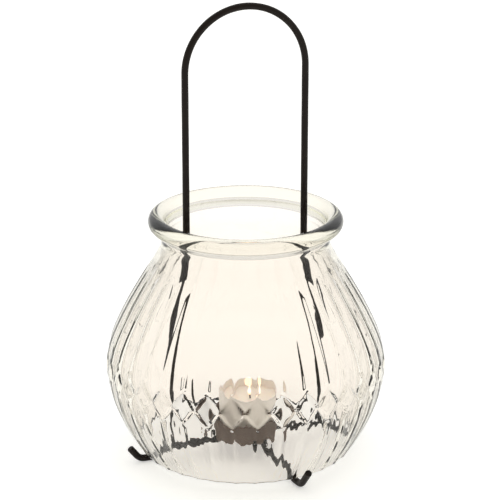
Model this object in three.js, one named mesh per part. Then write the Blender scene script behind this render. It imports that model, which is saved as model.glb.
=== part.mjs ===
// Table lantern: an open-bottomed fluted glass shade standing on a cross of black wire.
// A tall wire handle rises through the shade, and a sheet-metal pan at the middle of
// the cross holds a tealight. Millimetres, +Z up. The origin is on the table, under
// the middle of the cross, and the handle stands in the plane of X and Z.
import * as THREE from 'three';

const FIT_GAP = 0.3;                 // left between pieces that touch

// Black wire of the stand and the handle
const WIRE = 4.3;                    // across its flats
const WIRE_SIDES = 8;
const WIRE_STEP = 6;                 // length of one step along the handle
const CROSS_STEP = 3;                // and along the wires of the cross
const HANDLE_HALF_WIDTH = 38.7;      // centre line, from the axis
const HANDLE_ARCH_Z = 247;           // height where the round top begins
const LEG_FOOT_R = 49.1;             // where a leg stands on the cross
const LEG_STRAIGHT_Z = 134.6;        // a leg is straight above this height
const LEG_BOW_LOW = 109;             // pull of the lower bend
const LEG_BOW_HIGH = 24;             // pull of the upper bend
const CROSS_TURN = THREE.MathUtils.degToRad(8);  // by which the crossing is off square
const CROSS_RISE = 6;                // height of the middle of the cross above the table
const CROSS_DROP_FROM_R = 53.2;      // each arm comes down to the table between these
const CROSS_DROP_TO_R = 61;
const FOOT_BEND_R = 68;              // distance at which a cross arm starts to turn up
const FOOT_BEND = 6.5;               // radius of that bend
const FOOT_RISE = THREE.MathUtils.degToRad(52);
const FOOT_TIP = 11.5;               // straight end after the bend, on the two arms
const ROD_TIP = 7;                   // and on the long wire, whose ends are shorter

// Glass shade
const SHADE_Z = WIRE + FIT_GAP;      // its lower edge stands on the cross
const FLUTES = 36;
const FLUTE_TURN = THREE.MathUtils.degToRad(9.2);
const FLUTE_DEPTH = 1.1;
const GLASS_WALL = 4;
const BELT_LOW = 43.5;               // lowest points of the diamonds, above the edge
const BELT_MID = 54.5;               // where the diamonds touch each other
const BELT_HIGH = 66.5;              // highest points of the diamonds
const BELT_DEPTH = 1.3;              // of the grooves between the diamonds
const GROOVE_RUN = 2.5;              // height over which a flute dives into a groove
const FLUTE_ARCH = 12;               // height of the round upper end of a flute
const SHOULDER_Z = 124;              // flutes end here
const NECK_Z = 134;
const LIP_R = 55.1;                  // centre of the round lip
const LIP_Z = 147.4;
const LIP_THICKNESS = 10.5;
const NECK_R = 52.3;
const SHADE_OUTLINE = [              // outside radius and height above the lower edge
  [67.6, 0], [78.6, 19.5], [86.8, BELT_LOW], [87.8, BELT_MID], [86.1, BELT_HIGH],
  [76.7, 89.5], [66.1, 108.5], [56.6, SHOULDER_Z], [NECK_R, NECK_Z],
];

// Candle pan
const PAN_R = 24;
const PAN_BASE_R = 23;
const PAN_DEPTH = 12.6;
const PAN_SHEET = 0.8;
const PAN_CORNER = 1.5;

// Tealight
const TEALIGHT_R = 19;
const TEALIGHT_PLACE = [2.7, -1];    // it stands loose, a little off the middle of the pan
const TEALIGHT_HEIGHT = 26.5;
const CUP_SHEET = 0.5;
const CUP_BEAD = 0.5;                // how far the rolled rim stands out
const WAX_TOP = 20.5;                // above the cup's underside
const WICK_R = 0.8;
const WICK_TOP = 24.5;
const WICK_LEAN = 1.6;
const TAB_R = 7;
const TAB_SHEET = 0.5;
const TAB_NECK_R = 1.7;
const TAB_NECK = 4;

const WELD_R = 1.4;                  // size of a spot of weld
const CROSS_TOP = CROSS_RISE + WIRE + FIT_GAP;  // where legs and pan stand on the cross
const ARM_START_R = WIRE / 2 + FIT_GAP + 0.4;   // the arms are cut short of the long wire

const blackPaint = new THREE.MeshStandardMaterial({ color: 0x241d1a, roughness: 0.45, metalness: 0.2 });
const clearGlass = new THREE.MeshStandardMaterial({
  color: 0xeeeade, roughness: 0.05, metalness: 0, transparent: true, opacity: 0.35,
});
const aluminium = new THREE.MeshStandardMaterial({ color: 0xc9c4ba, roughness: 0.35, metalness: 1 });
const wax = new THREE.MeshStandardMaterial({ color: 0xf2e8d8, roughness: 0.5, metalness: 0 });
const cotton = new THREE.MeshStandardMaterial({ color: 0x2b1a12, roughness: 0.95, metalness: 0 });
const tinplate = new THREE.MeshStandardMaterial({ color: 0xb8b8b5, roughness: 0.4, metalness: 0.9 });

const lantern = new THREE.Group();

function addPiece(name, geometry, material, parent = lantern) {
  const mesh = new THREE.Mesh(geometry, material);
  mesh.name = name;
  parent.add(mesh);
  return mesh;
}

// A round body about Z from an outline of [radius, height] points.
function turned(outline, segments) {
  const points = outline.map(([radius, height]) => new THREE.Vector2(radius, height));
  return new THREE.LatheGeometry(points, segments).rotateX(Math.PI / 2);
}

// A quarter, or any other stretch, of a circle as [radius, height] points.
function arcPoints(centreR, centreZ, radius, startDeg, endDeg, steps) {
  const points = [];
  for (let i = 0; i <= steps; i += 1) {
    const angle = THREE.MathUtils.degToRad(startDeg + ((endDeg - startDeg) * i) / steps);
    points.push([centreR + radius * Math.cos(angle), centreZ + radius * Math.sin(angle)]);
  }
  return points;
}

// An arc standing in the plane of X and Z.
class UprightArc extends THREE.Curve {
  constructor(centre, radius, start, end) {
    super();
    Object.assign(this, { centre, radius, start, end });
  }

  getPoint(t, target = new THREE.Vector3()) {
    const angle = this.start + (this.end - this.start) * t;
    return target.set(
      this.centre.x + this.radius * Math.cos(angle),
      0,
      this.centre.z + this.radius * Math.sin(angle),
    );
  }
}

// Wire with flat facets, bent along a path made of several curves.
function bentWire(curves, step = WIRE_STEP) {
  const path = new THREE.CurvePath();
  curves.forEach((curve) => path.add(curve));
  const section = new THREE.Shape();
  const corner = WIRE / 2 / Math.cos(Math.PI / WIRE_SIDES);
  for (let i = 0; i < WIRE_SIDES; i += 1) {
    const angle = ((i + 0.5) * 2 * Math.PI) / WIRE_SIDES;
    const point = [corner * Math.cos(angle), corner * Math.sin(angle)];
    if (i === 0) section.moveTo(...point);
    else section.lineTo(...point);
  }
  section.closePath();
  const steps = Math.ceil(path.getLength() / step);
  return new THREE.ExtrudeGeometry(section, { steps, extrudePath: path, bevelEnabled: false });
}

const at = (x, z) => new THREE.Vector3(x, 0, z);

// One leg from its foot on the cross up to where the arch begins.
function legCurves(side) {
  const foot = at(side * LEG_FOOT_R, CROSS_TOP);
  const top = at(side * HANDLE_HALF_WIDTH, LEG_STRAIGHT_Z);
  const bow = new THREE.CubicBezierCurve3(
    foot,
    at(side * LEG_FOOT_R, CROSS_TOP + LEG_BOW_LOW - CROSS_RISE),
    at(side * HANDLE_HALF_WIDTH, LEG_STRAIGHT_Z - LEG_BOW_HIGH),
    top,
  );
  return [bow, new THREE.LineCurve3(top, at(side * HANDLE_HALF_WIDTH, HANDLE_ARCH_Z))];
}

// The right leg is drawn downwards, so its curves run the other way.
function rightLegDown() {
  const [bow, straight] = legCurves(1);
  return [
    new THREE.LineCurve3(straight.v2, straight.v1),
    new THREE.CubicBezierCurve3(bow.v3, bow.v2, bow.v1, bow.v0),
  ];
}

function handleWire() {
  const arch = new UprightArc(at(0, HANDLE_ARCH_Z), HANDLE_HALF_WIDTH, Math.PI, 0);
  return bentWire([...legCurves(-1), arch, ...rightLegDown()]);
}

// The way a cross arm along +X comes down to the table.
function dropCurves() {
  const high = at(CROSS_DROP_FROM_R, WIRE / 2 + CROSS_RISE);
  const low = at(CROSS_DROP_TO_R, WIRE / 2);
  return [
    new THREE.LineCurve3(high, low),
    new THREE.LineCurve3(low, at(FOOT_BEND_R, WIRE / 2)),
  ];
}

// The bend and the raised tip at the end of a cross arm that runs along +X.
function footCurves(tip) {
  const bend = new UprightArc(at(FOOT_BEND_R, WIRE / 2 + FOOT_BEND), FOOT_BEND,
    -Math.PI / 2, -Math.PI / 2 + FOOT_RISE);
  const start = bend.getPoint(1);
  const reach = at(tip * Math.cos(FOOT_RISE), tip * Math.sin(FOOT_RISE));
  return [bend, new THREE.LineCurve3(start, start.clone().add(reach))];
}

// A foot and its drop drawn from the tip inwards on the -X side.
function footCurvesInward(tip) {
  const bend = new UprightArc(at(-FOOT_BEND_R, WIRE / 2 + FOOT_BEND), FOOT_BEND,
    -Math.PI / 2 - FOOT_RISE, -Math.PI / 2);
  const end = bend.getPoint(0);
  const reach = at(-tip * Math.cos(FOOT_RISE), tip * Math.sin(FOOT_RISE));
  const low = at(-CROSS_DROP_TO_R, WIRE / 2);
  return [
    new THREE.LineCurve3(end.clone().add(reach), end),
    bend,
    new THREE.LineCurve3(at(-FOOT_BEND_R, WIRE / 2), low),
    new THREE.LineCurve3(low, at(-CROSS_DROP_FROM_R, WIRE / 2 + CROSS_RISE)),
  ];
}

function crossRod() {
  const height = WIRE / 2 + CROSS_RISE;
  const middle = new THREE.LineCurve3(at(-CROSS_DROP_FROM_R, height), at(CROSS_DROP_FROM_R, height));
  return bentWire(
    [...footCurvesInward(ROD_TIP), middle, ...dropCurves(), ...footCurves(ROD_TIP)],
    CROSS_STEP,
  );
}

function crossArm() {
  const height = WIRE / 2 + CROSS_RISE;
  const start = at(ARM_START_R, height);
  const straight = new THREE.LineCurve3(start, at(CROSS_DROP_FROM_R, height));
  return bentWire([straight, ...dropCurves(), ...footCurves(FOOT_TIP)], CROSS_STEP);
}

// How far the pattern is cut into the glass. across runs from 0 at the middle of a
// flute to 1 at the ridge between two flutes; height is above the lower edge.
function patternDepth(across, height) {
  const half = height > BELT_MID ? BELT_HIGH - BELT_MID : BELT_MID - BELT_LOW;
  const fromMid = Math.abs(height - BELT_MID) / half;
  if (across >= fromMid) return BELT_DEPTH * (1 - across + fromMid);
  const arch = (Math.max(height - (SHOULDER_Z - FLUTE_ARCH), 0) / FLUTE_ARCH) * FLUTE_DEPTH;
  const flute = Math.max(FLUTE_DEPTH * (1 - across * across) - arch, 0);
  const groove = BELT_DEPTH * (1 - ((fromMid - across) * half) / GROOVE_RUN);
  return Math.max(flute, groove);
}

// The smooth outside of the shade, from the lower edge up to the neck.
function shadeOutside(rowsPerSpan) {
  const curve = new THREE.SplineCurve(SHADE_OUTLINE.map(([r, z]) => new THREE.Vector2(r, z)));
  const spans = SHADE_OUTLINE.length - 1;
  const points = [];
  for (let i = 0; i <= spans * rowsPerSpan; i += 1) {
    const point = curve.getPoint(i / (spans * rowsPerSpan));
    points.push([point.x, point.y]);
  }
  return points;
}

// Moves one point of the outside inwards by the depth of the pattern there.
function cutPattern(position, index) {
  const [x, y, z] = [position.getX(index), position.getY(index), position.getZ(index)];
  const turn = (Math.atan2(y, x) * FLUTES) / (2 * Math.PI);
  const across = Math.abs(turn - Math.round(turn)) * 2;
  const scale = 1 - patternDepth(across, z) / Math.hypot(x, y);
  position.setXYZ(index, x * scale, y * scale, z);
}

function glassShade() {
  const outside = shadeOutside(2);
  const lip = arcPoints(LIP_R, LIP_Z, LIP_THICKNESS / 2, -110, 190, 10);
  const inside = shadeOutside(1).map(([r, z]) => [r - GLASS_WALL, z]).reverse();
  const outline = [...outside, ...lip, ...inside, outside[0]];
  const shape = turned(outline, FLUTES * 2);
  const position = shape.getAttribute('position');
  for (let i = 0; i < position.count; i += 1) {
    const row = i % outline.length;
    if (row < outside.length || row === outline.length - 1) cutPattern(position, i);
  }
  return shape;
}

function candlePan() {
  const base = PAN_BASE_R - PAN_CORNER;
  const slope = THREE.MathUtils.radToDeg(Math.atan2(PAN_R - PAN_BASE_R, PAN_DEPTH));
  return turned([
    [0, 0],
    ...arcPoints(base, PAN_CORNER, PAN_CORNER, -90, -slope, 3),
    [PAN_R, PAN_DEPTH],
    [PAN_R - PAN_SHEET, PAN_DEPTH],
    [PAN_BASE_R - PAN_SHEET, PAN_CORNER],
    [base, PAN_SHEET],
    [0, PAN_SHEET],
  ], 40);
}

function tealightCup() {
  const inner = TEALIGHT_R - CUP_BEAD - CUP_SHEET;
  return turned([
    [0, 0],
    [inner, 0],
    [TEALIGHT_R - CUP_BEAD, CUP_SHEET],
    [TEALIGHT_R - CUP_BEAD, TEALIGHT_HEIGHT - 2 * CUP_BEAD],
    ...arcPoints(TEALIGHT_R - CUP_BEAD, TEALIGHT_HEIGHT - CUP_BEAD, CUP_BEAD, -60, 90, 3),
    [inner, TEALIGHT_HEIGHT],
    [inner, CUP_SHEET],
    [0, CUP_SHEET],
  ], 40);
}

// The wax is open at both ends of the hole that the wick and its tab stand in.
function tealightWax() {
  const outer = TEALIGHT_R - CUP_BEAD - CUP_SHEET - FIT_GAP;
  const wickHole = WICK_R + FIT_GAP + 0.1;
  const floor = CUP_SHEET + FIT_GAP;
  const tabTop = floor + TAB_SHEET + FIT_GAP;
  const neckTop = floor + TAB_NECK + FIT_GAP;
  const outline = [
    [TAB_R + FIT_GAP, floor],
    [outer, floor],
    [outer, WAX_TOP + 0.5],
    [outer - 1, WAX_TOP],
    [wickHole, WAX_TOP],
    [wickHole, neckTop],
    [TAB_NECK_R + FIT_GAP, neckTop],
    [TAB_NECK_R + FIT_GAP, tabTop],
    [TAB_R + FIT_GAP, tabTop],
  ];
  return turned([...outline, outline[0]], 32);
}

function wickTab() {
  const bore = WICK_R + FIT_GAP;
  return turned([
    [0, 0],
    [TAB_R, 0],
    [TAB_R, TAB_SHEET],
    [TAB_NECK_R, TAB_SHEET],
    [TAB_NECK_R, TAB_NECK],
    [bore, TAB_NECK],
    [bore, TAB_SHEET],
    [0, TAB_SHEET],
  ], 24);
}

// The wick stands straight in the wax and leans over where it has burnt.
function wick() {
  const base = CUP_SHEET + 2 * FIT_GAP + TAB_SHEET;
  const path = new THREE.CurvePath();
  const bendFrom = new THREE.Vector3(0, 0, WAX_TOP);
  path.add(new THREE.LineCurve3(new THREE.Vector3(0, 0, base), bendFrom));
  path.add(new THREE.QuadraticBezierCurve3(bendFrom, new THREE.Vector3(0, 0, WAX_TOP + 2),
    new THREE.Vector3(0, WICK_LEAN, WICK_TOP)));
  const section = new THREE.Shape().absarc(0, 0, WICK_R, 0, 2 * Math.PI);
  return new THREE.ExtrudeGeometry(section, {
    steps: 16, curveSegments: 4, extrudePath: path, bevelEnabled: false,
  });
}

// A drop of weld: a small round bead.
function weldSpot() {
  return new THREE.SphereGeometry(WELD_R, 10, 6).rotateX(Math.PI / 2);
}

// A sloping collar of weld round the foot of a leg.
function legWeld() {
  const inner = WIRE / 2 / Math.cos(Math.PI / WIRE_SIDES) + FIT_GAP;
  return turned([
    [inner, 0],
    [inner + 1.2, 0],
    [inner + 0.8, 1.2],
    [inner, 2.4],
    [inner, 0],
  ], 16);
}

function buildStand() {
  addPiece('handle_wire', handleWire(), blackPaint);
  addPiece('cross_rod', crossRod(), blackPaint);
  addPiece('cross_arm_back', crossArm(), blackPaint).rotation.z = Math.PI / 2 + CROSS_TURN;
  addPiece('cross_arm_front', crossArm(), blackPaint).rotation.z = -Math.PI / 2 + CROSS_TURN;
  addPiece('candle_pan', candlePan(), blackPaint).position.z = CROSS_TOP;

  for (const [name, side] of [['left', -1], ['right', 1]]) {
    addPiece(`handle_weld_${name}`, legWeld(), blackPaint)
      .position.set(side * LEG_FOOT_R, 0, CROSS_TOP);
  }
  // A spot of weld in each corner of the crossing, as far from one wire as from the other.
  const off = WIRE / 2 + FIT_GAP + WELD_R;
  [[1, 1], [-1, 1], [-1, -1], [1, -1]].forEach(([sideX, sideY], i) => {
    const y = sideY * off;
    const x = (sideX * off - y * Math.sin(CROSS_TURN)) / Math.cos(CROSS_TURN);
    addPiece(`cross_weld_${i + 1}`, weldSpot(), blackPaint)
      .position.set(x, y, CROSS_RISE + WIRE / 2);
  });
  // A spot on top of each wire, against the side of the pan.
  const panWeldR = PAN_BASE_R + FIT_GAP + WELD_R + 0.4;
  [0, Math.PI / 2 + CROSS_TURN, Math.PI, -Math.PI / 2 + CROSS_TURN].forEach((around, i) => {
    addPiece(`pan_weld_${i + 1}`, weldSpot(), blackPaint)
      .position.set(panWeldR * Math.cos(around), panWeldR * Math.sin(around), CROSS_TOP + WELD_R);
  });
}

function buildTealight() {
  const tealight = new THREE.Group();
  tealight.position.set(...TEALIGHT_PLACE, CROSS_TOP + PAN_SHEET + FIT_GAP);
  lantern.add(tealight);
  addPiece('tealight_cup', tealightCup(), aluminium, tealight);
  addPiece('tealight_wax', tealightWax(), wax, tealight);
  addPiece('wick_tab', wickTab(), tinplate, tealight).position.z = CUP_SHEET + FIT_GAP;
  addPiece('wick', wick(), cotton, tealight);
}

function buildShade() {
  const shade = addPiece('glass_shade', glassShade(), clearGlass);
  shade.position.z = SHADE_Z;
  shade.rotation.z = FLUTE_TURN;
}

buildStand();
buildTealight();
buildShade();

export default lantern;
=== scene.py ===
"""Visual model of a jar lantern: a fluted glass shade on a black wire stand, with a lit tealight.

Every class is one sub-assembly of the lantern. It holds its own sizes in millimetres, builds its
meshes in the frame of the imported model, and dresses them with their finishes.
"""

import logging
import math
from dataclasses import dataclass
from enum import Enum
from typing import Callable, Iterable, Sequence

import bpy
import numpy as np
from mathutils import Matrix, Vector


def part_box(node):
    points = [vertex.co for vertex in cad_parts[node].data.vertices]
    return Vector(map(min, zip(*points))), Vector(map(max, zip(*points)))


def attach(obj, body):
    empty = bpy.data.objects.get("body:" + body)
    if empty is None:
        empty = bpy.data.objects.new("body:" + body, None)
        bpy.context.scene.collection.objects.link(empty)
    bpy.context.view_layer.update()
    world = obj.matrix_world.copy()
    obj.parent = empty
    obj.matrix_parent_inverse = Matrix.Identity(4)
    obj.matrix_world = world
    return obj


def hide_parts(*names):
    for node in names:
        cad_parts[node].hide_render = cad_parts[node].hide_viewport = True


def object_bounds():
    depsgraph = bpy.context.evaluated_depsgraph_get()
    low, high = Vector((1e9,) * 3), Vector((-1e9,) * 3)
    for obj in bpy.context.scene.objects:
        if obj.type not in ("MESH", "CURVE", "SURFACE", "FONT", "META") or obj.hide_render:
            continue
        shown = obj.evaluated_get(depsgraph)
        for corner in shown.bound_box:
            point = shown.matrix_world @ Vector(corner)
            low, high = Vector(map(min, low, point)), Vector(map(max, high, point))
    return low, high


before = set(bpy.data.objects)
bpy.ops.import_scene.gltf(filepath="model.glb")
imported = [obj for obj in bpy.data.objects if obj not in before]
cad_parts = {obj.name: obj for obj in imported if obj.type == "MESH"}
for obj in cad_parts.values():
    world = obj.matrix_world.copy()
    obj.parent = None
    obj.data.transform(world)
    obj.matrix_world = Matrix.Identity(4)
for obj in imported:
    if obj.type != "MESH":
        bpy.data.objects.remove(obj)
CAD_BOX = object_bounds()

MM = 0.001
log = logging.getLogger("lantern")

# Red, green and blue, linear.
Colour = tuple[float, float, float]
# Radius and height of a point of an outline.
Point = tuple[float, float]
# What a node's input is given: another node's socket, or a plain number.
Value = bpy.types.NodeSocket | float

# Slopes of the rings that round the cut end of a bar, in degrees.
END_BENDS = (90, 67, 45, 22)
# A cross product shorter than this is too weak to steer a bar's section by.
SHORTEST_CROSS = 0.2
# How sharp an edge is where its wear begins, and how quickly the wear grows from there.
WEAR_FROM = 0.52
WEAR_GAIN = 12.0
# Where the noise begins to show worn crumbs, and how hard their edges are.
CRUMBS_FROM = 0.4
CRUMBS_GAIN = 4.0


class Body(Enum):
    """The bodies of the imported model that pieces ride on."""

    STAND = "stand"
    SHADE = "shade"
    TEALIGHT = "tealight"


class Slot(Enum):
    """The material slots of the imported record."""

    PAINT = "black_paint"
    GLASS = "clear_glass"
    ALUMINIUM = "aluminium_cup"
    WAX = "wax"
    COTTON = "cotton_wick"


# ---------------------------------------------------------------- meshes


def mesh_object(name: str, points: np.ndarray, faces: list[tuple[int, ...]]) -> bpy.types.Object:
    """Makes a smooth-shaded mesh object and links it to the scene.

    Args:
        name: Name of the object and of its mesh.
        points: Corner points, in millimetres, one row each.
        faces: Corner numbers of each face, counter-clockwise from outside.

    Returns:
        The new object.
    """
    mesh = bpy.data.meshes.new(name)
    mesh.from_pydata((np.asarray(points, float) * MM).tolist(), [], faces)
    mesh.validate()
    mesh.update()
    mesh.polygons.foreach_set("use_smooth", [True] * len(mesh.polygons))
    piece = bpy.data.objects.new(name, mesh)
    bpy.context.scene.collection.objects.link(piece)
    return piece


def ring_faces(rings: int, around: int, closed: bool) -> list[tuple[int, ...]]:
    """Faces that join rings of points into a skin.

    Args:
        rings: Number of rings.
        around: Number of points in each ring.
        closed: Joins the last ring to the first one.

    Returns:
        Quads as tuples of point numbers.
    """
    faces = []
    for i in range(rings if closed else rings - 1):
        low, high = i * around, ((i + 1) % rings) * around
        for k in range(around):
            after = (k + 1) % around
            faces.append((low + k, low + after, high + after, high + k))
    return faces


def turned(
    name: str,
    outline: Sequence[Point],
    around: int,
    centre: Vector,
    shape: Callable[[np.ndarray, np.ndarray, np.ndarray], np.ndarray] | None = None,
) -> bpy.types.Object:
    """Turns an outline round an upright axis.

    Args:
        name: Name of the piece.
        outline: Points of radius and height in millimetres. A radius of 0 at an end closes the skin there.
        around: Number of points in each ring.
        centre: Foot of the axis, in millimetres.
        shape: Changes the radii, given the angles, radii and heights as arrays.

    Returns:
        The new piece.
    """
    points: list[np.ndarray] = []
    faces: list[tuple[int, ...]] = []
    angles = np.arange(around) * 2 * math.pi / around
    starts = []
    total = 0
    for radius, height in outline:
        starts.append((total, radius > 0))
        if radius <= 0:
            points.append(np.array([[0.0, 0.0, height]]))
            total += 1
            continue
        radii = np.full(around, float(radius))
        heights = np.full(around, float(height))
        if shape is not None:
            radii = shape(angles, radii, heights)
        points.append(np.stack([radii * np.cos(angles), radii * np.sin(angles), heights], 1))
        total += around
    for (low, low_ring), (high, high_ring) in zip(starts, starts[1:]):
        for k in range(around):
            after = (k + 1) % around
            if low_ring and high_ring:
                faces.append((low + k, low + after, high + after, high + k))
            elif high_ring:
                faces.append((low, high + after, high + k))
            elif low_ring:
                faces.append((low + k, low + after, high))
    return mesh_object(name, np.concatenate(points) + np.array(centre), faces)


def rounded(
    corners: Sequence[tuple[float, float, float]], steps: int = 5
) -> list[Point]:
    """Rounds the corners of an outline.

    Args:
        corners: Points of radius, height and how far the rounding reaches along both sides.
        steps: Number of steps in each rounding.

    Returns:
        The outline as points of radius and height.
    """
    out: list[Point] = []
    for i, (x, y, reach) in enumerate(corners):
        if reach <= 0 or i in (0, len(corners) - 1):
            out.append((x, y))
            continue
        here = np.array([x, y])
        ends = []
        for other in (corners[i - 1], corners[i + 1]):
            way = np.array(other[:2]) - here
            length = float(np.hypot(*way))
            ends.append(here + way / length * min(reach, length * 0.49))
        for k in range(steps + 1):
            t = k / steps
            point = ends[0] * (1 - t) ** 2 + here * 2 * t * (1 - t) + ends[1] * t**2
            out.append((float(point[0]), float(point[1])))
    return out


def swept(
    name: str, path: np.ndarray, radii: np.ndarray, around: int, edge: float
) -> bpy.types.Object:
    """A round bar swept along a path, with softly rounded cut ends.

    Args:
        name: Name of the piece.
        path: Centre line points in millimetres.
        radii: Radius at each point of the path.
        around: Number of points round the bar.
        edge: Size of the rounding at the cut ends.

    Returns:
        The new piece.
    """
    ways = np.gradient(path, axis=0)
    ways /= np.linalg.norm(ways, axis=1)[:, None]
    side = np.cross(ways[0], [0.0, 1.0, 0.0])
    if np.linalg.norm(side) < SHORTEST_CROSS:
        side = np.cross(ways[0], [1.0, 0.0, 0.0])
    angles = np.arange(around) * 2 * math.pi / around
    frames: list[tuple[np.ndarray, np.ndarray]] = []
    for way in ways:
        side = side - way * float(side @ way)
        side /= np.linalg.norm(side)
        frames.append((side.copy(), np.cross(way, side)))

    def ring(at: int, onward: float, radius: float) -> np.ndarray:
        """One ring of points round the bar, moved onward from a point of the path."""
        first, second = frames[at]
        round_bar = np.cos(angles)[:, None] * first + np.sin(angles)[:, None] * second
        return path[at] + ways[at] * onward + radius * round_bar

    last = len(path) - 1
    bends = [math.radians(bend) for bend in END_BENDS]
    rounding = [(edge * (1 - math.sin(bend)), edge * (1 - math.cos(bend))) for bend in bends]
    rings = [ring(0, inset, radii[0] - shrink) for inset, shrink in rounding]
    rings.append(ring(0, edge, radii[0]))
    rings.extend(ring(at, 0.0, radii[at]) for at in range(1, last))
    rings.append(ring(last, -edge, radii[last]))
    rings.extend(ring(last, -inset, radii[last] - shrink) for inset, shrink in reversed(rounding))
    faces = ring_faces(len(rings), around, False)
    count = len(rings) * around
    points = np.concatenate([*rings, path[:1], path[-1:]])
    top = (len(rings) - 1) * around
    for k in range(around):
        after = (k + 1) % around
        faces.append((count, after, k))
        faces.append((count + 1, top + k, top + after))
    return mesh_object(name, points, faces)


def waves(angles: np.ndarray, counts: Iterable[int], seed: int) -> np.ndarray:
    """A smooth wave round a full turn, made of whole numbers of periods.

    Args:
        angles: Where to read the wave, in radians.
        counts: How many periods each part of the wave has round a turn.
        seed: Starts the phases, so that each piece has its own wave.

    Returns:
        The wave, mostly between -1 and 1.
    """
    draw = np.random.default_rng(seed)
    total = np.zeros_like(angles)
    parts = list(counts)
    for count in parts:
        total += np.sin(angles * count + draw.uniform(0, 2 * math.pi)) * draw.uniform(0.6, 1.0)
    return total / math.sqrt(len(parts))


def bezier(knots: np.ndarray, count: int) -> np.ndarray:
    """Points on a cubic curve.

    Args:
        knots: The four knots of the curve, one row each.
        count: Number of points, with both ends.

    Returns:
        The points, one row each.
    """
    t = np.linspace(0, 1, count)
    shares = np.stack([(1 - t) ** 3, 3 * t * (1 - t) ** 2, 3 * t**2 * (1 - t), t**3], 1)
    return shares @ knots


# ---------------------------------------------------------------- shader node groups


def group_of(
    name: str, inputs: Sequence[tuple[str, str, float]], outputs: Sequence[tuple[str, str]]
) -> tuple[bpy.types.ShaderNodeTree, bpy.types.Node, bpy.types.Node]:
    """Makes an empty shader node group with named sockets.

    Args:
        name: Name of the group.
        inputs: Name, kind ("Float", "Color" or "Vector") and first value of each input.
        outputs: Name and kind of each output.

    Returns:
        The group, its input node and its output node.
    """
    tree = bpy.data.node_groups.new(name, "ShaderNodeTree")
    for label, kind, value in inputs:
        socket = tree.interface.new_socket(label, in_out="INPUT", socket_type=f"NodeSocket{kind}")
        if kind == "Float":
            socket.default_value = value
    for label, kind in outputs:
        tree.interface.new_socket(label, in_out="OUTPUT", socket_type=f"NodeSocket{kind}")
    return tree, tree.nodes.new("NodeGroupInput"), tree.nodes.new("NodeGroupOutput")


def value_math(
    tree: bpy.types.NodeTree, kind: str, first: Value, second: Value, clamp: bool = False
) -> bpy.types.NodeSocket:
    """Adds a Math node.

    Args:
        tree: Where the node goes.
        kind: The node's operation.
        first: First value, a socket or a number.
        second: Second value, a socket or a number.
        clamp: Keeps the result between 0 and 1.

    Returns:
        The result's socket.
    """
    node = tree.nodes.new("ShaderNodeMath")
    node.operation = kind
    node.use_clamp = clamp
    for socket, given in zip(node.inputs, (first, second)):
        if isinstance(given, (int, float)):
            socket.default_value = given
        else:
            tree.links.new(given, socket)
    return node.outputs[0]


def colour_mix(
    tree: bpy.types.NodeTree,
    share: Value,
    first: bpy.types.NodeSocket | tuple[float, ...],
    second: bpy.types.NodeSocket | tuple[float, ...],
) -> bpy.types.NodeSocket:
    """Adds a colour Mix node.

    Args:
        tree: Where the node goes.
        share: How much of the second colour shows, a socket or a number.
        first: First colour, a socket or four numbers.
        second: Second colour, a socket or four numbers.

    Returns:
        The result's socket.
    """
    node = tree.nodes.new("ShaderNodeMix")
    node.data_type = "RGBA"
    for socket, given in ((node.inputs[0], share), (node.inputs[6], first), (node.inputs[7], second)):
        if isinstance(given, bpy.types.NodeSocket):
            tree.links.new(given, socket)
        else:
            socket.default_value = given
    return node.outputs[2]


def noise(
    tree: bpy.types.NodeTree, place: bpy.types.NodeSocket, scale: Value, detail: float, rough: float
) -> bpy.types.NodeSocket:
    """Adds a Noise Texture node.

    Args:
        tree: Where the node goes.
        place: Socket of the coordinates.
        scale: Periods for each metre, a socket or a number.
        detail: How many finer layers are laid over it.
        rough: How strong the finer layers are.

    Returns:
        The value's socket.
    """
    node = tree.nodes.new("ShaderNodeTexNoise")
    node.inputs["Detail"].default_value = detail
    node.inputs["Roughness"].default_value = rough
    tree.links.new(place, node.inputs["Vector"])
    if isinstance(scale, bpy.types.NodeSocket):
        tree.links.new(scale, node.inputs["Scale"])
    else:
        node.inputs["Scale"].default_value = scale
    return node.outputs[0]


def colour_ramp(
    tree: bpy.types.NodeTree,
    share: bpy.types.NodeSocket,
    stops: Sequence[tuple[float, Colour]],
) -> bpy.types.NodeSocket:
    """Adds a Color Ramp node.

    Args:
        tree: Where the node goes.
        share: Where to read the ramp, from 0 to 1.
        stops: Place and colour of each stop, in rising order.

    Returns:
        The colour's socket.
    """
    node = tree.nodes.new("ShaderNodeValToRGB")
    elements = node.color_ramp.elements
    for element, (position, colour) in zip(elements, (stops[0], stops[-1])):
        element.position = position
        element.color = (*colour, 1.0)
    for position, colour in stops[1:-1]:
        elements.new(position).color = (*colour, 1.0)
    tree.links.new(share, node.inputs[0])
    return node.outputs[0]


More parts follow.
